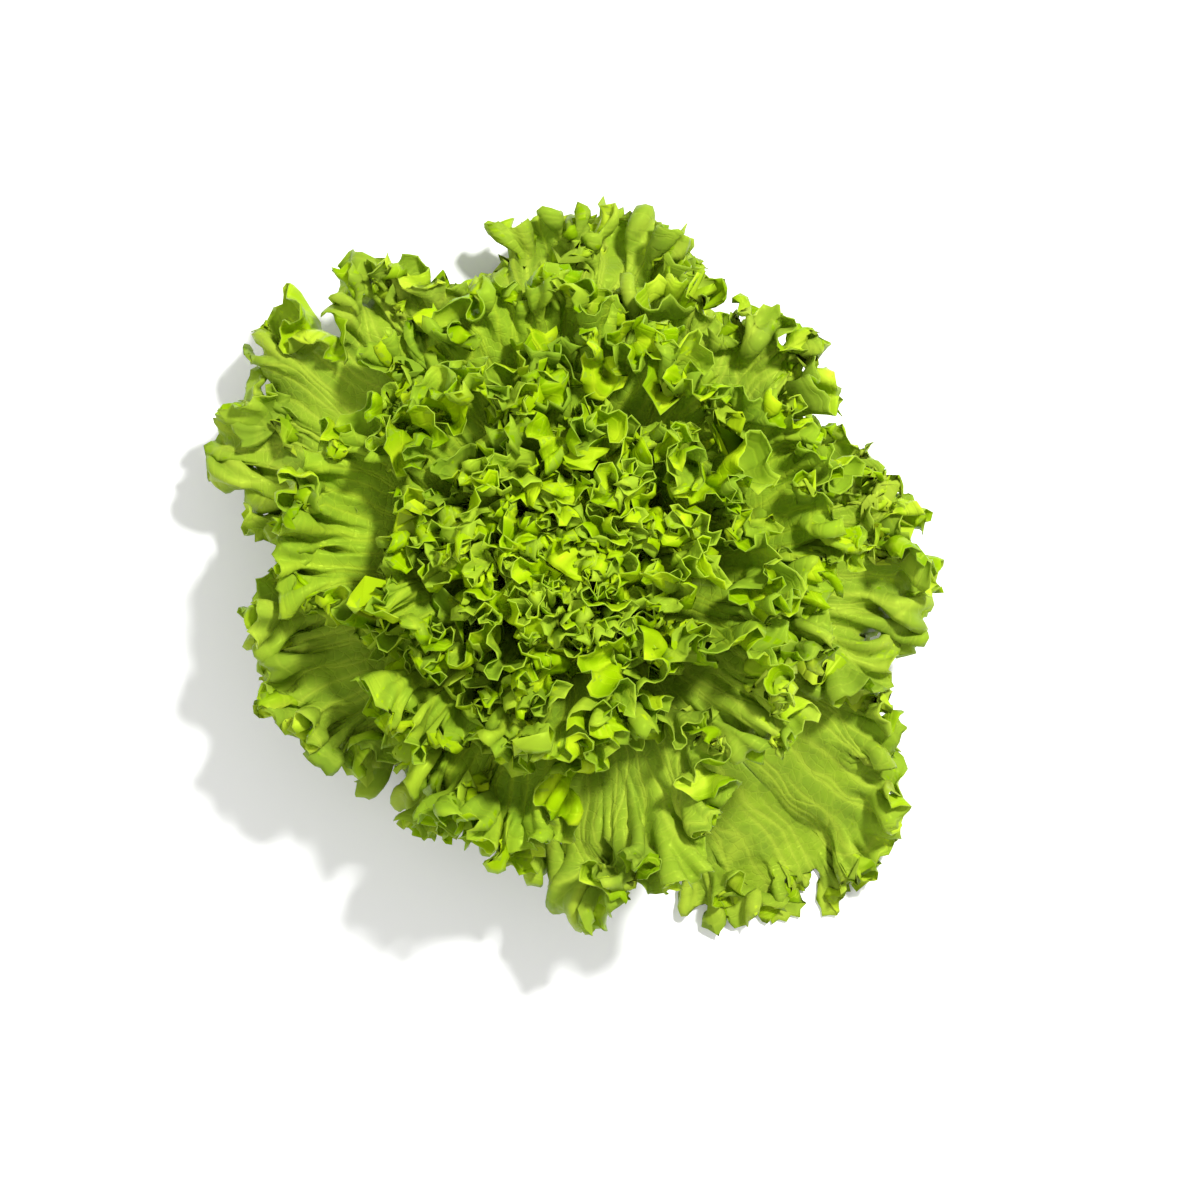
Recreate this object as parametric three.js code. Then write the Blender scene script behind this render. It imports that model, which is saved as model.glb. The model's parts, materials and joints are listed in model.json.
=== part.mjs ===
// A loose head of frilled leaf lettuce, standing on its cut stem. Millimetres, +Z up.
// Every leaf lies on its own level surface. The level surfaces are nested round the stem like
// the layers of an artichoke, from level 0, spread on the table, to level 1, upright in the heart,
// so leaves on different levels can bend and ruffle without running into each other.
import * as THREE from "three";

const LEAF_COUNT = 40;
const GOLDEN_ANGLE = THREE.MathUtils.degToRad(137.508);
const FIRST_AZIMUTH = THREE.MathUtils.degToRad(-48);

const STEM_HEIGHT = 62;
const STEM_FOOT_RADIUS = 13.5;
const STEM_TIP_RADIUS = 2.6;
const STEM_SIDES = 20;

const LOWEST_LEAF_Z = 7; // where the outermost leaf leaves the stem
const HIGHEST_LEAF_Z = 58; // and the innermost one
const STEM_GAP = 0.4;
const TABLE_GAP = 0.7; // from the table to the middle of a leaf that lies on it
const TABLE_EASE = 6; // height over which a drooping leaf flattens onto the table

const OUTER_LENGTH = 140;
const INNER_LENGTH = 56;
const BASE_HALF_WIDTH = 8.5;
const FAN_ANGLE = THREE.MathUtils.degToRad(76); // from the midrib to the lowest side vein
const MOST_WRAP = THREE.MathUtils.degToRad(56); // how far a leaf reaches round the stem, each way

const OUTER_BLADE = 0.8; // thickness of the outermost leaf's blade
const INNER_BLADE = 0.45; // and of the innermost leaf's
const OUTER_RIB = 2; // on top of the blade, where the midrib leaves the stem
const INNER_RIB = 0.3;
// How far a ruffle swings, in steps from one leaf to the next. There is more room at a leaf's tip,
// which lies clear of its neighbours' sides.
const SIDE_RUFFLE = 0.6;
const TIP_RUFFLE = 2;
const RUFFLES = 5; // from the lowest side vein on one side to the other
const LOBE_DEPTH = 0.06; // of the leaf's length

const ACROSS = 16; // facets from one side of a leaf to the other
const ALONG = 4; // and from the stem to the margin

const { degToRad, lerp, clamp } = THREE.MathUtils;

// The side where the head is loose, so that the outermost blades lie bare.
const LOOSE_AZIMUTH = degToRad(-52);
const LOOSE_WIDTH = degToRad(38);
const LOOSENESS = 1.2;
const LOOSE_SHORTENING = 0.36; // of the leaves above the outermost one, on that side

// Sides where the leaves reach further out, or less far, than on a round head.
const REACHES = [
  { azimuth: -46, width: 26, more: 0.16 },
  { azimuth: 141, width: 16, more: 0.15 },
  { azimuth: -82, width: 16, more: 0.06 },
  { azimuth: 176, width: 16, more: 0.06 },
  { azimuth: 228, width: 20, more: -0.22 },
];

function angleBetween(a, b) {
  return Math.atan2(Math.sin(a - b), Math.cos(a - b));
}

function bell(angle, centre, width) {
  return Math.exp(-((angleBetween(angle, centre) / width) ** 2));
}

function reachAt(azimuth) {
  return REACHES.reduce(
    (sum, side) => sum + side.more * bell(azimuth, degToRad(side.azimuth), degToRad(side.width)),
    1,
  );
}

function leafLength(level, azimuth) {
  const near = bell(azimuth, LOOSE_AZIMUTH, LOOSE_WIDTH * 0.75);
  const shortened = LOOSE_SHORTENING * near * (1 - Math.exp(-12 * level));
  return arcOf(level).length * lerp(reachAt(azimuth), 1, level) * (1 - shortened);
}

function stemRadiusAt(z) {
  return lerp(STEM_FOOT_RADIUS, STEM_TIP_RADIUS, clamp(z / STEM_HEIGHT, 0, 1) ** 1.3);
}

// How a leaf on this level leaves the stem and bends: a circular arc in the plane through the stem.
function arcOf(level) {
  const startZ = lerp(LOWEST_LEAF_Z, HIGHEST_LEAF_Z, level);
  return {
    startZ,
    startRadius: stemRadiusAt(startZ) + STEM_GAP + thicknessAt(level, 0, 0) / 2,
    startTilt: lerp(degToRad(28), degToRad(90), level ** 0.7),
    endTilt: lerp(degToRad(-34), degToRad(84), level ** 0.8),
    length: lerp(OUTER_LENGTH, INNER_LENGTH, level ** 1.2),
  };
}

function thicknessAt(level, across, out) {
  const blade = lerp(OUTER_BLADE, INNER_BLADE, level);
  const rib = lerp(OUTER_RIB, INNER_RIB, Math.sqrt(level));
  return blade + rib * Math.exp(-((across / 0.28) ** 2)) * (1 - out) ** 1.5;
}

// What droops below the table lies flat on it instead.
function onTable(z) {
  const ease = TABLE_EASE - TABLE_GAP;
  return z > TABLE_EASE ? z : TABLE_GAP + ease * Math.exp((z - TABLE_EASE) / ease);
}

// The point at a distance along the arc of a level, at an azimuth round the stem.
function levelPoint(level, azimuth, distance) {
  const loose = LOOSENESS * bell(azimuth, LOOSE_AZIMUTH, LOOSE_WIDTH);
  const arc = arcOf(level + loose * level * (1 - level) ** 2);
  const bend = (arc.endTilt - arc.startTilt) / arc.length;
  const tilt = arc.startTilt + bend * distance;
  const radius = arc.startRadius + (Math.sin(tilt) - Math.sin(arc.startTilt)) / bend;
  const z = arc.startZ - (Math.cos(tilt) - Math.cos(arc.startTilt)) / bend;
  return new THREE.Vector3(radius * Math.cos(azimuth), radius * Math.sin(azimuth), onTable(z));
}

// Where a point of the flat leaf goes. across runs from -1 to 1 from side to side, and out from
// 0 at the stem to 1 at the margin.
function leafPoint(leaf, across, out) {
  const vein = across * FAN_ANGLE;
  const wave = RUFFLES * vein + leaf.phase;
  const lobe = 1 + LOBE_DEPTH * out ** 3 * Math.cos(wave);
  const veinLength = leaf.length * Math.cos(vein) ** 0.7 * lobe;
  const side = BASE_HALF_WIDTH * leaf.width * across * (1 - out) + out * veinLength * Math.sin(vein);
  const distance = out * veinLength * Math.cos(vein);
  const middle = levelPoint(leaf.level, leaf.azimuth, distance);
  const wrap = MOST_WRAP * Math.tanh(side / Math.hypot(middle.x, middle.y) / MOST_WRAP);
  const room = lerp(SIDE_RUFFLE, TIP_RUFFLE, Math.cos(vein) ** 4 * (1 - leaf.level) * out ** 4);
  const level = leaf.level + (room * Math.sin(wave) * out ** 2) / LEAF_COUNT;
  return levelPoint(Math.max(level, 0), leaf.azimuth + wrap, distance);
}

// A closed thin solid: the leaf's upper and lower faces, joined round the margin.
function leafGeometry(leaf) {
  const step = 1e-3;
  const faces = [[], []];
  for (let j = 0; j <= ALONG; j++) {
    const out = (j / ALONG) ** 0.8;
    for (let i = 0; i <= ACROSS; i++) {
      const across = (2 * i) / ACROSS - 1;
      const point = leafPoint(leaf, across, out);
      const sideways = leafPoint(leaf, across + step, out).sub(leafPoint(leaf, across - step, out));
      const inside = Math.max(out - step, 0);
      const outwards = leafPoint(leaf, across, out + step).sub(leafPoint(leaf, across, inside));
      const half = sideways.cross(outwards).setLength(thicknessAt(leaf.level, across, out) / 2);
      faces[0].push(point.clone().sub(half));
      faces[1].push(point.clone().add(half));
    }
  }
  const row = ACROSS + 1;
  const underside = faces[0].length;
  const triangles = [];
  const quad = (a, b, c, d) => triangles.push(a, b, c, a, c, d);
  for (let j = 0; j < ALONG; j++) {
    for (let i = 0; i < ACROSS; i++) {
      const a = j * row + i;
      quad(a, a + row, a + row + 1, a + 1);
      quad(underside + a, underside + a + 1, underside + a + row + 1, underside + a + row);
    }
  }
  const rim = [];
  for (let i = 0; i < ACROSS; i++) rim.push(i);
  for (let j = 0; j < ALONG; j++) rim.push(j * row + ACROSS);
  for (let i = ACROSS; i > 0; i--) rim.push(ALONG * row + i);
  for (let j = ALONG; j > 0; j--) rim.push(j * row);
  rim.forEach((a, i) => {
    const b = rim[(i + 1) % rim.length];
    quad(a, b, underside + b, underside + a);
  });
  return new THREE.BufferGeometry()
    .setFromPoints([...faces[0], ...faces[1]])
    .setIndex(triangles);
}

function leafMaterial(level) {
  const outer = new THREE.Color("#5f8f12");
  const inner = new THREE.Color("#9cc21c");
  return new THREE.MeshStandardMaterial({ color: outer.lerp(inner, level), roughness: 0.45, metalness: 0 });
}

function makeLeaf(index) {
  const level = index / (LEAF_COUNT - 1);
  const azimuth = FIRST_AZIMUTH + index * GOLDEN_ANGLE;
  const leaf = {
    level,
    azimuth,
    length: leafLength(level, azimuth),
    width: lerp(1, 0.35, level),
    phase: index * GOLDEN_ANGLE,
  };
  const mesh = new THREE.Mesh(leafGeometry(leaf), leafMaterial(level));
  mesh.name = `leaf_${String(index + 1).padStart(2, "0")}`;
  return mesh;
}

function makeStem() {
  const profile = [new THREE.Vector2(0, 0)];
  for (const z of [0, 6, 18, 34, 50]) profile.push(new THREE.Vector2(stemRadiusAt(z), z));
  profile.push(new THREE.Vector2(0, STEM_HEIGHT));
  const geometry = new THREE.LatheGeometry(profile, STEM_SIDES).rotateX(Math.PI / 2);
  const material = new THREE.MeshStandardMaterial({ color: "#d9dfae", roughness: 0.55, metalness: 0 });
  const stem = new THREE.Mesh(geometry, material);
  stem.name = "stem";
  return stem;
}

const head = new THREE.Group();
head.add(makeStem());
for (let index = 0; index < LEAF_COUNT; index++) head.add(makeLeaf(index));

// The frame's origin is on the table, under the middle of the head.
const box = new THREE.Box3().setFromObject(head, true);
const middle = box.getCenter(new THREE.Vector3());
head.position.set(-middle.x, -middle.y, 0);

export default head;
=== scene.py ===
# %% [markdown]
# # A head of lollo bionda
#
# Lollo bionda is a loose-leaf lettuce. Its leaves grow in a spiral round a short stem, and each
# one is a smooth pale fan at the base that bursts into frills at the margin, because the margin
# goes on growing after the middle of the leaf has stopped. There is more edge than the fan has
# room for, so it has to swing up and down.
#
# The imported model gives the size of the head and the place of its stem. Every leaf is then made
# here as one thin closed mesh. A sculpted head would never repeat, but growing the leaves by rule
# keeps them apart: each lies on a surface of its own, nested in the next like the layers of an
# artichoke.

# %% Load the frame
import json
import math

import bpy
import numpy as np
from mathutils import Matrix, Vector


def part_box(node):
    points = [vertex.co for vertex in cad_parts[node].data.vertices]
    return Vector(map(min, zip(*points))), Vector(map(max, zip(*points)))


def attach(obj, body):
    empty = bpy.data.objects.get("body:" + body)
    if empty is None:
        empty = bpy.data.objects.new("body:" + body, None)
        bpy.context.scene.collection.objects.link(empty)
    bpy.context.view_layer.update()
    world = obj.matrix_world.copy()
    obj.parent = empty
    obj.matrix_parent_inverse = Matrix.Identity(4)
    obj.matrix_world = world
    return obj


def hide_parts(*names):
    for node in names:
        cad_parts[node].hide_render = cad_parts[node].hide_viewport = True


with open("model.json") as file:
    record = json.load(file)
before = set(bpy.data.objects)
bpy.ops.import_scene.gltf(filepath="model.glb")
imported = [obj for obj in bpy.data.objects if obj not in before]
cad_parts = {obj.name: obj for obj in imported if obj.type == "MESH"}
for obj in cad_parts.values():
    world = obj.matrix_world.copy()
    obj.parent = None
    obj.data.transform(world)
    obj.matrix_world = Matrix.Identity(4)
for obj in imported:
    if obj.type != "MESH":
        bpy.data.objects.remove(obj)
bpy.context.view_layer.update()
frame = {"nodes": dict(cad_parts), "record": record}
MM = 0.001

stem_low, stem_high = (np.array(corner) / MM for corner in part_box("stem"))
STEM_AXIS = (stem_low + stem_high)[:2] / 2
STEM_HEIGHT = stem_high[2]
STEM_FOOT_RADIUS = (stem_high - stem_low)[0] / 2
LEAF_NODES = sorted(name for name in frame["nodes"] if name.startswith("leaf_"))
LEAF_COUNT = len(LEAF_NODES)
print("stem axis", STEM_AXIS.round(1), "mm, height", round(STEM_HEIGHT, 1), "mm,", LEAF_COUNT, "leaves")

# %% [markdown]
# ## Where the leaves lie
#
# A leaf's level says how far in it sits: 0 is the outermost leaf, spread on the table, and 1 is
# the last one, upright in the heart. On each level a leaf leaves the stem at some height and
# tilt and bends in one circular arc. A bend like that could be a curve object, but as a formula
# it can be asked for any level in between, and that is what lets a leaf sway without touching
# its neighbours.

# %% The arc of a level
STEM_TIP_RADIUS = 2.6
STEM_GAP = 0.4
RIB_HEIGHT = 2.0  # of the outermost leaf's midrib where it leaves the stem


def mix(low, high, share):
    return low + (high - low) * share


def stem_radius(z):
    return mix(STEM_FOOT_RADIUS, STEM_TIP_RADIUS, np.clip(z / STEM_HEIGHT, 0, 1) ** 1.3)


def arc_of(level):
    start_z = mix(7, 58, level)
    base_thickness = mix(0.8, 0.45, level) + mix(RIB_HEIGHT, 0.3, np.sqrt(level))
    return {
        "start_z": start_z,
        "start_radius": stem_radius(start_z) + STEM_GAP + base_thickness / 2,
        "start_tilt": np.radians(mix(28, 90, level**0.7)),
        "end_tilt": np.radians(mix(-34, 84, level**0.8)),
        "length": mix(140, 56, level**1.2),
    }


for level in (0, 0.5, 1):
    print("level", level, {key: round(float(value), 2) for key, value in arc_of(level).items()})

# %% [markdown]
# The head is loose on one side, where the outermost blades lie bare. There the levels in the
# middle of the stack are pushed towards the heart. Whatever droops below the table is laid on it
# instead, with a short easing so that nothing folds sharply where it lands.

# %% A point on a level
LOOSE_SIDE, LOOSE_WIDTH, LOOSENESS = math.radians(-52), math.radians(38), 1.2
TABLE_GAP, TABLE_EASE = 0.7, 6.0


def bell(angle, centre, width):
    turn = np.arctan2(np.sin(angle - centre), np.cos(angle - centre))
    return np.exp(-((turn / width) ** 2))


def on_table(z):
    ease = TABLE_EASE - TABLE_GAP
    eased = TABLE_GAP + ease * np.exp((np.minimum(z, TABLE_EASE) - TABLE_EASE) / ease)
    return np.where(z > TABLE_EASE, z, eased)


def level_point(level, azimuth, distance):
    loose = LOOSENESS * bell(azimuth, LOOSE_SIDE, LOOSE_WIDTH)
    arc = arc_of(level + loose * level * (1 - level) ** 2)
    bend = (arc["end_tilt"] - arc["start_tilt"]) / arc["length"]
    tilt = arc["start_tilt"] + bend * distance
    radius = arc["start_radius"] + (np.sin(tilt) - np.sin(arc["start_tilt"])) / bend
    z = arc["start_z"] - (np.cos(tilt) - np.cos(arc["start_tilt"])) / bend
    return np.stack([radius * np.cos(azimuth), radius * np.sin(azimuth), on_table(z)], axis=-1)


print("tip of the outermost arc, mm:", level_point(np.array(0.0), np.array(0.0), np.array(140.0)).round(1))

# %% [markdown]
# ## One leaf, before it frills
#
# Laid flat, a leaf is a fan. `across` runs over its side veins, from -1 to 1, and `out` runs from
# the stem to the margin. The fan is wrapped round the stem on its own level, with a slow sway of
# a level or so and shallow lobes between the main veins.

# %% The plain fan
GOLDEN_ANGLE = math.radians(137.508)
FIRST_AZIMUTH = math.radians(-48)
FAN_ANGLE = math.radians(76)
BASE_HALF_WIDTH = 8.5
MOST_WRAP = math.radians(56)
SWAYS = 5
LOBE_DEPTH = 0.06
# Sides of the head, in degrees, where leaves reach further out or less far, and by what share.
REACHES = ((-46, 26, 0.16), (141, 16, 0.15), (-82, 16, 0.06), (176, 16, 0.06), (228, 20, -0.22))
LOOSE_SHORTENING = 0.36  # of the leaves above the outermost one, on the loose side


def leaf_facts(index):
    level = index / (LEAF_COUNT - 1)
    azimuth = FIRST_AZIMUTH + index * GOLDEN_ANGLE
    reach = 1 + sum(
        more * bell(azimuth, math.radians(at), math.radians(width)) for at, width, more in REACHES
    )
    loose = bell(azimuth, LOOSE_SIDE, LOOSE_WIDTH * 0.75)
    shortened = LOOSE_SHORTENING * loose * (1 - math.exp(-12 * level))
    return {
        "index": index,
        "level": level,
        "azimuth": azimuth,
        "length": arc_of(level)["length"] * mix(reach, 1, level) * (1 - shortened),
        "phase": index * GOLDEN_ANGLE,
    }


def plain_fan(leaf, across, out, outline=0.0):
    vein = across * FAN_ANGLE
    wave = SWAYS * vein + leaf["phase"]
    vein_length = leaf["length"] * np.cos(vein) ** 0.7
    vein_length = vein_length * (1 + LOBE_DEPTH * out**3 * np.cos(wave) + outline * out**3)
    base_side = BASE_HALF_WIDTH * mix(1, 0.35, leaf["level"]) * across * (1 - out)
    side = base_side + out * vein_length * np.sin(vein)
    distance = out * vein_length * np.cos(vein)
    middle = level_point(leaf["level"], leaf["azimuth"], distance)
    wrap = MOST_WRAP * np.tanh(side / np.hypot(middle[..., 0], middle[..., 1]) / MOST_WRAP)
    room = mix(0.6, 2, np.cos(vein) ** 4 * (1 - leaf["level"]) * out**4)
    level = np.maximum(leaf["level"] + room * np.sin(wave) * out**2 / LEAF_COUNT, 0)
    points = level_point(level, leaf["azimuth"] + wrap, distance)
    return points, side, distance, (1 - out) * vein_length


print("outermost leaf", {key: round(float(value), 2) for key, value in leaf_facts(0).items()})

# %% [markdown]
# ## Frills
#
# A torn or frilled edge is the same wave over and over at smaller and smaller sizes. Each round
# measures the length of the margin as it now is, runs a wave along that length, and swings the
# sheet along its own normal, most at the margin and less further in. Because each round follows
# the sheet that the round before has bent, the small waves ride over the large ones and turn
# with them. The swing also shifts the sheet sideways twice in each wave, which folds the crests
# over into curls as real ones are, where a plain sine would only make a corrugated roof.

# %% Surface directions and frills
def unit(vectors):
    return vectors / np.maximum(np.linalg.norm(vectors, axis=-1, keepdims=True), 1e-9)


def directions(points):
    """The unit vectors along the margin, away from the stem, and out of the upper face."""
    along = unit(np.gradient(points, axis=1))
    outwards = unit(np.gradient(points, axis=0))
    normal = unit(np.cross(along, outwards))
    return along, outwards, normal


def margin_length(points):
    steps = np.linalg.norm(np.diff(points[-1], axis=0), axis=1)
    return np.concatenate([[0], np.cumsum(steps)])


def drift(length, scale, rng):
    """A slow random curve between about -1 and 1 along the margin."""
    total = np.zeros_like(length)
    for octave in (1, 1.9, 3.3):
        total += np.sin(length / (scale / octave) * 2 * np.pi + rng.uniform(0, 2 * np.pi)) / octave
    return total / 1.6


def frill(points, depth, wavelength, swing, overhang, reach, share, rng):
    length = margin_length(points)
    phase = 2 * np.pi * length / wavelength + 1.8 * drift(length, 4.3 * wavelength, rng)
    phase = phase + rng.uniform(0, 6.28)
    phase = phase + 3.5 * drift(length, 5.3 * wavelength, rng) * depth / wavelength
    size = share * (1 + 0.6 * drift(length, 3.1 * wavelength, rng))
    fade = np.exp(-((depth / reach) ** 1.6)) * size
    along, _, normal = directions(points)
    rise = wavelength * swing * fade * np.sin(phase)
    shift = -wavelength * overhang * fade * np.minimum(fade, 1.2) * np.sin(2 * phase)
    return points + rise[..., None] * normal + shift[..., None] * along


# %% [markdown]
# Between the main veins the margin is cut into round lobes, and every lobe rolls its own way:
# some up, some down, and the young ones mostly outwards, like a page that has been turned. Each
# column of the sheet is bent by turning its steps one after another, so the leaf keeps its length
# where moving points up and out would stretch it. Crumples are the dents that packing and growth
# leave in the blade: a sum of a dozen waves that run in all directions, as one wave would show.

# %% Lobes, rolls and crumples
def lobes(length, spacing, depth, rng):
    """How far the outline is cut back along the margin, as a share of the leaf's length."""
    place = length / spacing + 0.5 * drift(length, 3.3 * spacing, rng) + rng.uniform()
    cleft = (0.5 + 0.5 * np.cos(2 * np.pi * place)) ** 4
    return depth * (0.1 - cleft * (0.75 + 0.4 * drift(length, 2.1 * spacing, rng)))


def roll(points, depth, reach, angle):
    _, outwards, normal = directions(points)
    steps = np.diff(points, axis=0)
    size = np.sum(steps * outwards[1:], axis=-1, keepdims=True)
    turn = (angle * np.clip(1 - depth / reach, 0, 1) ** 1.2)[1:, :, None]
    steps = steps + size * ((np.cos(turn) - 1) * outwards[1:] + np.sin(turn) * normal[1:])
    return np.concatenate([points[:1], points[:1] + np.cumsum(steps, axis=0)])


def crumple(points, side, distance, fade, wavelength, swing, rng):
    """Dents and blisters of about one size that lie in no particular direction."""
    height = np.zeros(points.shape[:2])
    for _ in range(12):
        direction, size = rng.uniform(0, np.pi), wavelength * rng.uniform(0.75, 1.35)
        run = side * math.cos(direction) + distance * math.sin(direction)
        height += np.sin(2 * np.pi * run / size + rng.uniform(0, 6.28))
    _, _, normal = directions(points)
    return points + (swing * fade * height / math.sqrt(6))[..., None] * normal


# %% [markdown]
# The very edge is cut into small teeth with round bays between them. They lie in the leaf, so
# they push the margin outwards and don't bend it.

# %% Teeth
def teeth(points, depth, spacing, height, rng):
    length = margin_length(points)
    place = length / spacing + 0.35 * drift(length, 3.7 * spacing, rng)
    from_bay = np.abs(2 * (place % 1) - 1)
    size = rng.uniform(0.35, 1.25, int(np.ceil(place.max())) + 3)[np.floor(place + 0.5).astype(int) + 1]
    _, outwards, _ = directions(points)
    push = height * size * (from_bay**2.2 - 0.25) * np.clip(1 - depth / (2.2 * height), 0, 1)
    return points + push[..., None] * outwards


# %% [markdown]
# ## From a sheet to a solid leaf
#
# Most of the detail is at the margin, so the mesh has four times as many columns there as at the
# base. The sheet gets a second face underneath it and a rim, and becomes a closed skin half a
# millimetre thick, with a thick pale midrib standing out of its underside.

# %% Build one leaf
def row_places(rows):
    return 1 - (1 - np.arange(rows + 1) / rows) ** 1.5


def leaf_sheet(leaf, columns, rows):
    rng = np.random.default_rng(100 + leaf["index"])
    level = leaf["level"]
    across = np.linspace(-1, 1, columns + 1)[None, :]
    out = row_places(rows)[:, None]
    vein = across * FAN_ANGLE
    share = mix(0.5, 1, np.cos(vein) ** 2)
    size = mix(1, 0.66, level**0.7)
    length = leaf["length"] * 2 * FAN_ANGLE * 0.8 * (across[0] + 1) / 2
    outline = lobes(length, 34 * size, 0.16, rng)[None, :]
    points, side, distance, depth = plain_fan(leaf, across, out, outline)
    angle = np.radians(mix(10, -62, level**0.6) + 75 * drift(length, 48 * size, rng))[None, :]
    near_margin = np.exp(-((depth / (30 * size)) ** 2))
    dented = (0.25 + 0.75 * near_margin) * share
    points = crumple(points, side, distance, dented, 26 * size, 2.6 * size, rng)
    points = roll(points, depth, 31 * size, angle * share)
    deepest = mix(13, 18, min(12 * level, 1)) * size
    points = frill(points, depth, 29 * size, 0.32, 0.08, deepest, share, rng)
    points = crumple(points, side, distance, 0.35 + 0.65 * near_margin, 9 * size, 0.5 * size, rng)
    points = frill(points, depth, 17 * size, 0.24, 0.065, 11 * size, share, rng)
    points = teeth(points, depth, mix(11, 5.5, level), mix(3.7, 2.4, level), rng)
    points[..., 2] = on_table(points[..., 2])
    return points, side, distance, depth


def strides(rows, columns_fine_rows, columns_middle_rows):
    """How many fine columns each row steps over."""
    step = np.full(rows + 1, 4)
    step[rows + 1 - columns_fine_rows - columns_middle_rows:] = 2
    step[rows + 1 - columns_fine_rows:] = 1
    return step


def skin_faces(number, step, columns):
    """Quads, and triangles where a row has twice the columns of the one before."""
    quads, triangles = [], []
    for row in range(len(step) - 1):
        near, far = step[row], step[row + 1]
        a = number[row, 0:columns:near]
        b = number[row, near::near]
        c = number[row + 1, 0:columns:near]
        d = number[row + 1, near::near]
        if near == far:
            quads.append(np.stack([a, c, d, b], axis=1))
        else:
            e = number[row + 1, far:columns:near]
            triangles += [np.stack(t, axis=1) for t in ((a, c, e), (a, e, b), (b, e, d))]
    return np.concatenate(quads), np.concatenate(triangles)


leaf = leaf_facts(0)
sheet, *_ = leaf_sheet(leaf, 640, 24)
print("margin of the outermost leaf, mm:", round(float(margin_length(sheet)[-1])))

# %% [markdown]
# Blender can build a mesh from Python lists, but half a million corners are slow that way. Its
# arrays can be filled whole from numpy instead, which takes a tenth of a second a leaf.

# %% Make a mesh from arrays
def make_mesh(name, points, polygons, uv_maps):
    """A smooth mesh from points in mm, lists of polygons of one size each, and UVs by corner."""
    mesh = bpy.data.meshes.new(name)
    sizes = np.concatenate([np.full(len(faces), faces.shape[1]) for faces in polygons])
    corners = np.concatenate([faces.ravel() for faces in polygons])
    mesh.vertices.add(len(points))
    mesh.vertices.foreach_set("co", (points * MM).astype(np.float32).ravel())
    mesh.loops.add(len(corners))
    mesh.loops.foreach_set("vertex_index", corners.astype(np.int32))
    mesh.polygons.add(len(sizes))
    starts = np.concatenate([[0], np.cumsum(sizes)[:-1]])
    mesh.polygons.foreach_set("loop_start", starts.astype(np.int32))
    mesh.polygons.foreach_set("use_smooth", np.ones(len(sizes), dtype=bool))
    for map_name, values in uv_maps.items():
        layer = mesh.uv_layers.new(name=map_name)
        layer.data.foreach_set("uv", values.astype(np.float32).ravel())
    mesh.update(calc_edges=True)
    mesh.validate()
    piece = bpy.data.objects.new(name, mesh)
    bpy.context.scene.collection.objects.link(piece)
    return piece


# %% [markdown]
# Two UV maps tell the material where it is on the leaf. `fan` holds the place across and out,
# with 2 added below the leaf and 4 on the rim. `flat` holds the place on the leaf laid flat, in
# centimetres, moved on by 40 cm for each leaf so that no two leaves are marked alike.

# %% Space the columns along the margin
DENSE = 4  # columns worked out for each column kept


def spaced_sheet(leaf, columns, rows):
    """The sheet and its normals, with columns evenly spaced along the margin as it has frilled."""
    dense, *flat_place = leaf_sheet(leaf, DENSE * columns, rows)
    length = margin_length(dense)
    even = np.linspace(0, length[-1], columns + 1)
    chosen = np.searchsorted(length, even).clip(0, DENSE * columns)
    _, _, normal = (vectors[:, chosen] for vectors in directions(dense))
    flat_place = [np.broadcast_to(values, dense.shape[:2])[:, chosen] for values in flat_place]
    across = np.broadcast_to(np.linspace(-1, 1, DENSE * columns + 1)[None, chosen], normal.shape[:2])
    return dense[:, chosen], normal, across, flat_place


def kept_points(shape, step):
    """Which points of the grid are used, as the rows near the stem skip columns."""
    kept = np.zeros(shape, dtype=bool)
    for row, columns in enumerate(step):
        kept[row, ::columns] = True
    return kept


def rim_faces(number, step, count):
    """Quads that join the upper skin to the under one all round the leaf."""
    edge = np.concatenate([
        number[0, :: step[0]], number[1:, -1], number[-1, -2::-1], number[-2::-1, 0],
    ])
    following = np.roll(edge[:-1], -1)
    return np.stack([edge[:-1], following, following + count, edge[:-1] + count], axis=1)


# %% Close the leaf
OUTER_MESH = (800, 24, 5, 8)  # columns, rows, and rows with every column and with every second one
INNER_MESH = (440, 18, 5, 6)


def build_leaf(index):
    leaf = leaf_facts(index)
    level = leaf["level"]
    columns, rows, fine, middle = OUTER_MESH if level < 0.32 else INNER_MESH
    sheet, normal, across, (side, distance, depth) = spaced_sheet(leaf, columns, rows)
    out = np.broadcast_to(row_places(rows)[:, None], side.shape)
    blade = mix(0.5, 0.36, level) * mix(1, 0.75, np.clip(1 - depth / 6, 0, 1))
    rib = mix(RIB_HEIGHT, 0.3, math.sqrt(level)) * np.exp(-((across / 0.2) ** 2)) * (1 - out) ** 1.5
    upper = sheet + normal * (blade / 2)[..., None]
    under = sheet - normal * (blade / 2 + rib)[..., None]
    step = strides(rows, fine, middle)
    kept = kept_points(side.shape, step)
    count = int(kept.sum())
    number = np.full(side.shape, -1)
    number[kept] = np.arange(count)
    quads, triangles = skin_faces(number, step, columns)
    rim = rim_faces(number, step, count)
    polygons = [quads[:, ::-1], triangles[:, ::-1], quads + count, triangles + count, rim[:, ::-1]]
    points = np.concatenate([upper[kept], under[kept]])
    points[:, :2] += STEM_AXIS
    fan = np.stack([across[kept], out[kept]], axis=1)
    flat = np.stack([side[kept] / 10 + 40 * (index + 1), distance[kept] / 10], axis=1)
    corners = np.concatenate([faces.ravel() for faces in polygons])
    fan_corners = np.concatenate([fan, fan + [0, 2]])[corners]
    fan_corners[-rim.size:, 1] = 4 + (fan_corners[-rim.size:, 1] % 2)
    uv_maps = {"fan": fan_corners, "flat": np.concatenate([flat, flat])[corners]}
    return make_mesh(f"lettuce_leaf_{index + 1:02d}", points, polygons, uv_maps)


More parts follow.
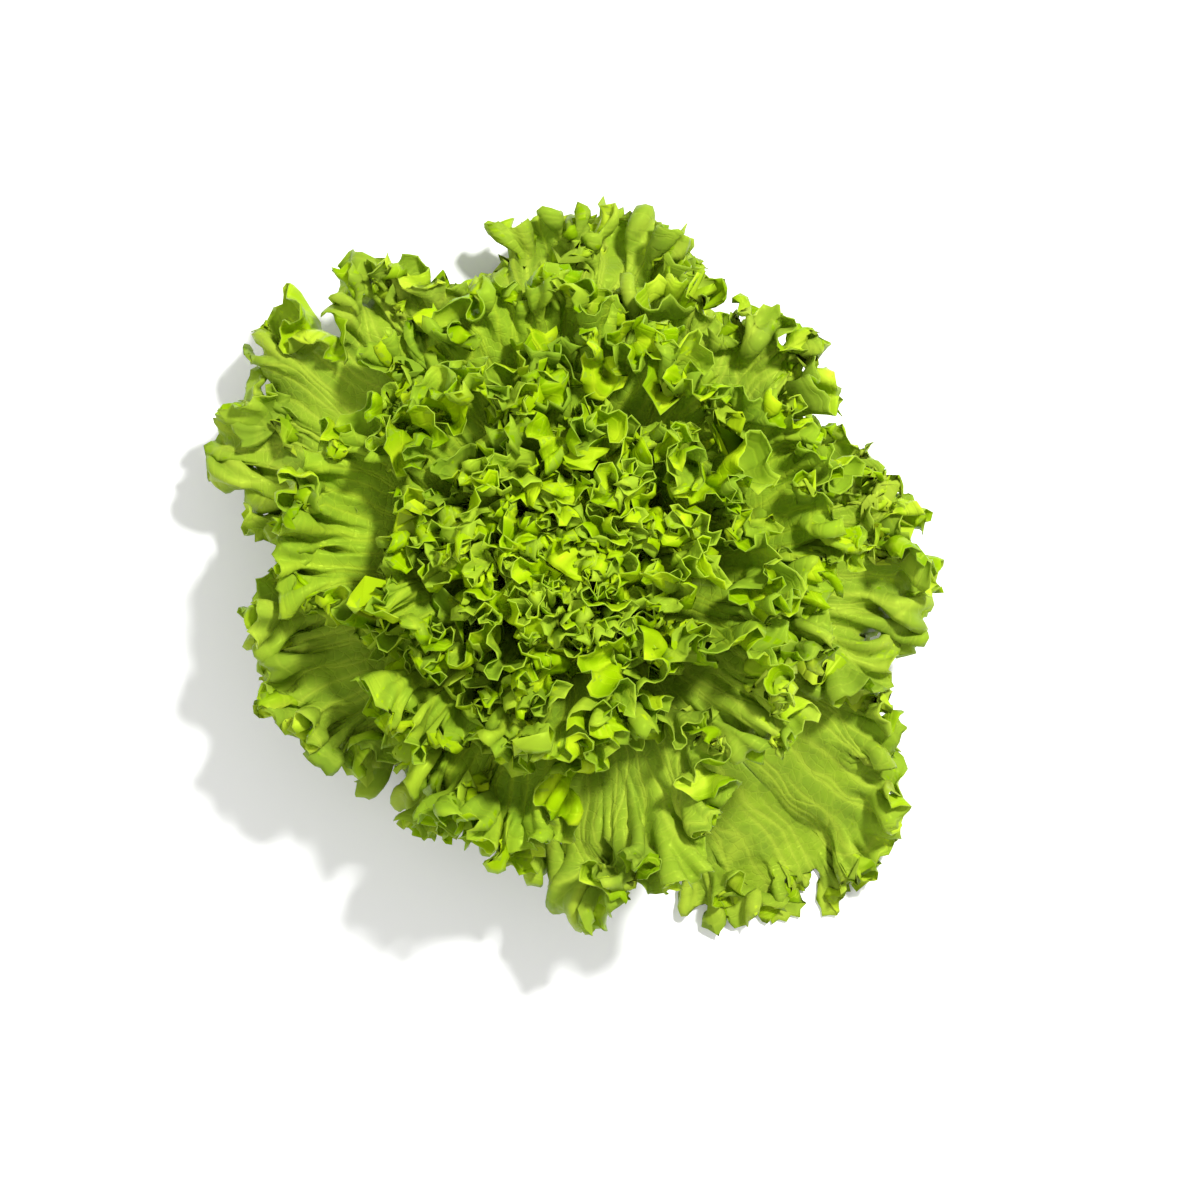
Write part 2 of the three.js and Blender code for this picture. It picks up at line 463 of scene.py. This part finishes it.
# %% [markdown]
# ## The leaf's finish
#
# A fresh lettuce leaf is wet tissue under a thin wax skin: it has a soft gloss, light goes
# through it and comes out yellower, and its veins are paler than the blade. The pattern is drawn
# by nodes on the two UV maps, because painted images would have to be kept beside the model.

# %% Colour and node helpers
def linear(colour):
    """sRGB hex to linear red, green, blue, alpha."""
    parts = [int(colour[i:i + 2], 16) / 255 for i in (1, 3, 5)]
    return [p / 12.92 if p <= 0.04045 else ((p + 0.055) / 1.055) ** 2.4 for p in parts] + [1]


def node(tree, kind, *values, inputs=None, output=0, **settings):
    """Adds a node with its settings, fills its inputs in order or by name, and gives an output."""
    made = tree.nodes.new("ShaderNode" + kind)
    for name, value in settings.items():
        setattr(made, name, value)
    for key, value in [*enumerate(values), *(inputs or {}).items()]:
        if isinstance(value, bpy.types.NodeSocket):
            tree.links.new(value, made.inputs[key])
        else:
            made.inputs[key].default_value = value
    return made.outputs[output] if made.outputs else None


def new_material(name):
    material = bpy.data.materials.new(name)
    material.use_nodes = True
    material.node_tree.nodes.clear()
    return material, material.node_tree


# %% [markdown]
# The side veins fan out from the base and fork twice on the way to the margin. Drawn as lines of
# constant `across`, with a slow wobble, they need no image and stay sharp at any size. The midrib
# is a pale wedge, broad at the stem, that is gone before the margin.

# %% Vein and midrib patterns
VEIN_ROUNDS = ((5, 0.0), (10, 0.3), (20, 0.62))  # veins from the midrib to one side, and where they start
LEAF_SPREAD = 9.0  # half the leaf's width at the margin, in cm


def vein_pattern(tree, across, out, flat):
    slow = {"Vector": flat, "Scale": 0.32, "Detail": 0.6, "Roughness": 0.5}
    wobble = node(tree, "TexNoise", inputs=slow, output="Fac")
    veins = 0.0
    for count, start in VEIN_ROUNDS:
        bent = node(tree, "Math", wobble, 1.5 / count, across, operation="MULTIPLY_ADD")
        counted = node(tree, "Math", bent, float(count), operation="MULTIPLY")
        lines = node(tree, "Math", counted, 0.5, operation="PINGPONG")
        width = node(tree, "Math", out, LEAF_SPREAD / count * 1.1, operation="MULTIPLY")
        distance = node(tree, "Math", lines, width, 0.035, operation="MULTIPLY_ADD")
        near = node(tree, "Math", 0.05, distance, operation="DIVIDE")
        soft = node(tree, "Math", near, 1.6, operation="POWER")
        sharp = node(tree, "Math", soft, 1.0, operation="MINIMUM")
        there = node(tree, "MapRange", out, start, start + 0.12, 0.0, 1.0)
        forked = node(tree, "Math", sharp, there, operation="MULTIPLY")
        veins = node(tree, "Math", forked, veins, operation="MAXIMUM")
    return veins


def midrib_pattern(tree, across, out):
    away = node(tree, "Math", across, operation="ABSOLUTE")
    spread = node(tree, "Math", out, LEAF_SPREAD, 0.8, operation="MULTIPLY_ADD")
    side = node(tree, "Math", away, spread, operation="MULTIPLY")
    remaining = node(tree, "Math", 0.7, out, operation="SUBTRACT")
    narrowing = node(tree, "Math", remaining, 0.4, operation="MULTIPLY")
    width = node(tree, "Math", narrowing, 0.006, operation="MAXIMUM")
    ratio = node(tree, "Math", side, width, operation="DIVIDE")
    square = node(tree, "Math", ratio, 2.0, operation="POWER")
    falling = node(tree, "Math", square, -1.0, operation="MULTIPLY")
    rib = node(tree, "Math", falling, operation="EXPONENT")
    fading = node(tree, "MapRange", out, 0.25, 0.7, 1.0, 0.0)
    return node(tree, "Math", rib, fading, operation="MULTIPLY")


# %% [markdown]
# The finest veins are a net with meshes of about 4 mm, which a Voronoi texture draws as the
# distance to the edge of its cells. Between them the blade swells into blisters 8 mm across. The
# colours are laid over one another from the blade up to its rim, whose pale line is a painted
# highlight for the light that the thin edge catches. A share of the light goes through the blade,
# which is what makes a frill with the lamp behind it look lit from inside.

# %% The leaf's material
def leaf_material(name, blade, dark, pale, through, underside):
    material, tree = new_material(name)
    fan = node(tree, "UVMap", uv_map="fan")
    flat = node(tree, "UVMap", uv_map="flat")
    across = node(tree, "SeparateXYZ", fan)
    sided = node(tree, "SeparateXYZ", fan, output=1)
    out = node(tree, "Math", sided, 2.0, operation="MODULO")
    below = node(tree, "Math", sided, 1.6, operation="GREATER_THAN")
    rim = node(tree, "Math", sided, 3.6, operation="GREATER_THAN")
    veins = vein_pattern(tree, across, out, flat)
    rib = midrib_pattern(tree, across, out)
    cells = {"Vector": flat, "Scale": 2.6}
    net = node(tree, "TexVoronoi", inputs=cells, output="Distance", feature="DISTANCE_TO_EDGE")
    net = node(tree, "MapRange", net, 0.0, 0.09, 1.0, 0.0)
    cloudy = {"Vector": flat, "Scale": 0.45, "Detail": 3.0}
    patches = node(tree, "TexNoise", inputs=cloudy, output="Fac")
    patches = node(tree, "MapRange", patches, 0.35, 0.65, 0.0, 1.0)

    colour = linear(dark)
    base = node(tree, "MapRange", out, 0.05, 0.5, 0.85, 0.0)
    for share, layer in (
        (patches, blade),
        (node(tree, "Math", net, 0.34, operation="MULTIPLY"), pale),
        (node(tree, "Math", veins, 0.85, operation="MULTIPLY"), pale),
        (node(tree, "Math", base, rib, operation="MAXIMUM"), "#dfe6a8"),
        (node(tree, "Math", below, 0.55, operation="MULTIPLY"), underside),
        # painted highlight: the rim faces get 15% of a paler green for the light that the leaf's thin edge
        # catches
        (node(tree, "Math", rim, 0.15, operation="MULTIPLY"), "#c9dc6e"),
    ):
        layers = {0: share, 6: colour, 7: linear(layer)}
        colour = node(tree, "Mix", inputs=layers, output=2, data_type="RGBA")

    blister = node(tree, "TexNoise", inputs={"Vector": flat, "Scale": 1.6, "Detail": 1.0}, output="Fac")
    sunk = node(tree, "Math", net, -0.13, operation="MULTIPLY")
    height = node(tree, "Math", blister, 1.3, sunk, operation="MULTIPLY_ADD")
    height = node(tree, "Math", veins, -0.35, height, operation="MULTIPLY_ADD")
    bump = node(tree, "Bump", inputs={"Strength": 0.6, "Distance": 0.0014, "Height": height})
    gloss = node(tree, "MapRange", patches, 0.0, 1.0, 0.38, 0.28)

    # leaf wax has an IOR of 1.4 to 1.5, and its gloss takes the blade's tint
    shader = node(tree, "BsdfPrincipled", inputs={
        "Base Color": colour, "Roughness": gloss, "IOR": 1.42, "Specular IOR Level": 0.3,
        "Specular Tint": linear("#c6e046"), "Normal": bump,
    })
    marked = node(tree, "Math", veins, rib, operation="MAXIMUM")
    marked = node(tree, "Math", marked, 0.5, operation="MULTIPLY")
    glow = {0: marked, 6: linear(through), 7: linear(pale)}
    glow = node(tree, "Mix", inputs=glow, output=2, data_type="RGBA")
    light_through = node(tree, "BsdfTranslucent", inputs={"Color": glow, "Normal": bump})
    node(tree, "OutputMaterial", node(tree, "MixShader", 0.34, shader, light_through))
    return material


# %% Three ages of leaf
# Colours in turn: the blade, its darker patches, its veins, the light through it, its underside.
LEAF_FINISHES = {
    "outer_leaf": leaf_material(
        "lettuce_blade_full_grown", "#9fc600", "#669200", "#cfe63c", "#abc80c", "#8ea23c"),
    "middle_leaf": leaf_material(
        "lettuce_blade_half_grown", "#9cc400", "#6c9a00", "#c4de20", "#adcc0c", "#8fa838"),
    "heart_leaf": leaf_material(
        "lettuce_blade_young", "#abd000", "#84ae00", "#c6e220", "#b8d60e", "#9cb43c"),
}
print("leaf finishes:", ", ".join(finish.name for finish in LEAF_FINISHES.values()))

# %% [markdown]
# Each leaf rides on the one body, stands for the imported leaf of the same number, and takes the
# finish of its age. Forty copies of one leaf would be lighter, but every leaf here has its own
# level, length and seed, as no two in a head are alike.

# %% Make every leaf
slots = {entry["node"]: entry["material_slot"] for entry in frame["record"]["subparts"]}
triangles = 0
for index, node_name in enumerate(LEAF_NODES):
    piece = build_leaf(index)
    piece.data.materials.append(LEAF_FINISHES[slots[node_name]])
    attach(piece, "root")
    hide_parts(node_name)
    triangles += sum(len(face.vertices) - 2 for face in piece.data.polygons)
print("leaves drawn with", triangles, "triangles")

# %% [markdown]
# ## The stem
#
# The stem is the one piece whose modelled shape is already right: a short cone, cut level with a
# knife. Its skin is pale and waxy with fibres running up it. The cut face shows the ring of veins
# that fed the leaves, wets with white juice, and browns at the edge within an hour. The place in
# the stem decides all of it, so the material reads the object coordinates, in metres.

# %% Stem material
def stem_material():
    material, tree = new_material("lettuce_stem_knife_cut")
    place = node(tree, "TexCoord", output="Object")
    axis = (*(STEM_AXIS * MM), 0)
    from_axis = node(tree, "VectorMath", place, axis, operation="SUBTRACT")
    x, y, z = (node(tree, "SeparateXYZ", from_axis, output=number) for number in range(3))
    squares = [node(tree, "Math", part, 2.0, operation="POWER") for part in (x, y)]
    radius = node(tree, "Math", node(tree, "Math", *squares, operation="ADD"), operation="SQRT")
    share = node(tree, "Math", radius, float(STEM_FOOT_RADIUS * MM), operation="DIVIDE")
    on_cut = node(tree, "Math", z, 0.0002, operation="LESS_THAN")
    grains = {"Vector": place, "Scale": 900.0, "Detail": 3.0}
    speckle = node(tree, "TexNoise", inputs=grains, output="Fac")
    stretched = node(tree, "VectorMath", place, (1, 1, 0.08), operation="MULTIPLY")
    threads = {"Vector": stretched, "Scale": 1100.0, "Detail": 2.0}
    fibres = node(tree, "TexNoise", inputs=threads, output="Fac")
    from_ring = node(tree, "Math", share, 0.68, operation="SUBTRACT")
    from_ring = node(tree, "Math", from_ring, operation="ABSOLUTE")
    from_ring = node(tree, "Math", from_ring, 9.0, operation="MULTIPLY")
    vein_ring = node(tree, "Math", 1.0, from_ring, operation="SUBTRACT")
    vein_ring = node(tree, "Math", vein_ring, 0.0, operation="MAXIMUM")
    vein_ring = node(tree, "Math", vein_ring, speckle, operation="MULTIPLY")
    uneven = node(tree, "Math", speckle, 0.12, share, operation="MULTIPLY_ADD")
    browned = node(tree, "MapRange", uneven, 0.86, 1.06, 0.0, 0.8)

    skin = {0: fibres, 6: linear("#b9c97a"), 7: linear("#e9eec6")}
    skin = node(tree, "Mix", inputs=skin, output=2, data_type="RGBA")
    colour = linear("#f1f0d6")
    for share_shown, layer in ((vein_ring, "#b3bf6a"), (browned, "#b98a52")):
        layers = {0: share_shown, 6: colour, 7: linear(layer)}
        colour = node(tree, "Mix", inputs=layers, output=2, data_type="RGBA")
    colour = node(tree, "Mix", inputs={0: on_cut, 6: skin, 7: colour}, output=2, data_type="RGBA")
    height = node(tree, "Math", speckle, 0.4, fibres, operation="MULTIPLY_ADD")
    bump = node(tree, "Bump", inputs={"Strength": 0.35, "Distance": 0.0005, "Height": height})
    wet = node(tree, "MapRange", on_cut, 0.0, 1.0, 0.48, 0.3)
    shader = node(tree, "BsdfPrincipled", inputs={
        "Base Color": colour, "Roughness": wet, "IOR": 1.4, "Normal": bump,
    })
    node(tree, "OutputMaterial", shader)
    return material


stem = frame["nodes"]["stem"]
stem.data.materials.clear()
stem.data.materials.append(stem_material())
print("stem keeps its shape,", len(stem.data.polygons), "faces, with", stem.data.materials[0].name)

# %% [markdown]
# ## The table, the light and the camera
#
# A head of lettuce is shown best from above, under one small lamp that draws the frills and a
# large dim one that opens their shadows. The table is plain and pale so that it colours nothing.

# %% Table
bpy.ops.mesh.primitive_plane_add(size=8, location=(0, 0, -0.0005))
floor = bpy.context.object
floor.name = "floor"
floor_paint, tree = new_material("pale_matt_table")
paint = {"Base Color": linear("#fbfbfa"), "Roughness": 0.8}
node(tree, "OutputMaterial", node(tree, "BsdfPrincipled", inputs=paint))
floor.data.materials.append(floor_paint)
print("table", floor.dimensions.x, "m across")

# %% Light
world = bpy.data.worlds.new("studio")
bpy.context.scene.world = world
world.use_nodes = True
world.node_tree.nodes["Background"].inputs[0].default_value = (1, 1, 1, 1)
world.node_tree.nodes["Background"].inputs[1].default_value = 0.66


def lamp(name, place, size, power):
    data = bpy.data.lights.new(name, "AREA")
    data.shape = "DISK"
    data.size = size
    data.energy = power
    made = bpy.data.objects.new(name, data)
    made.location = place
    made.rotation_euler = (-Vector(place)).to_track_quat("-Z", "Y").to_euler()
    bpy.context.scene.collection.objects.link(made)
    print(name, "lamp,", power, "W,", size, "m across, at", place)


# Standard shows colours as the materials give them; the default view greys strong greens.
bpy.context.scene.view_settings.view_transform = "Standard"
# Light that has been through four skins of leaf is too dim to show, so no path is followed further.
bpy.context.scene.cycles.max_bounces = 4
bpy.context.scene.cycles.diffuse_bounces = 2
bpy.context.scene.cycles.glossy_bounces = 1
bpy.context.scene.cycles.transmission_bounces = 4

lamp("key", (0.62, 0.7, 1.5), 0.22, 46)
lamp("fill", (-1.2, -0.6, 1.6), 1.6, 10)

# %% Camera
camera_data = bpy.data.cameras.new("camera")
camera = bpy.data.objects.new("camera", camera_data)
camera.location = (0, 0, 1.3)
camera_data.sensor_width = 36
camera_data.lens = 95
camera_data.shift_x = 0.02
camera_data.shift_y = -0.028
bpy.context.scene.collection.objects.link(camera)
bpy.context.scene.camera = camera
print("camera looks straight down from", camera.location.z, "m")
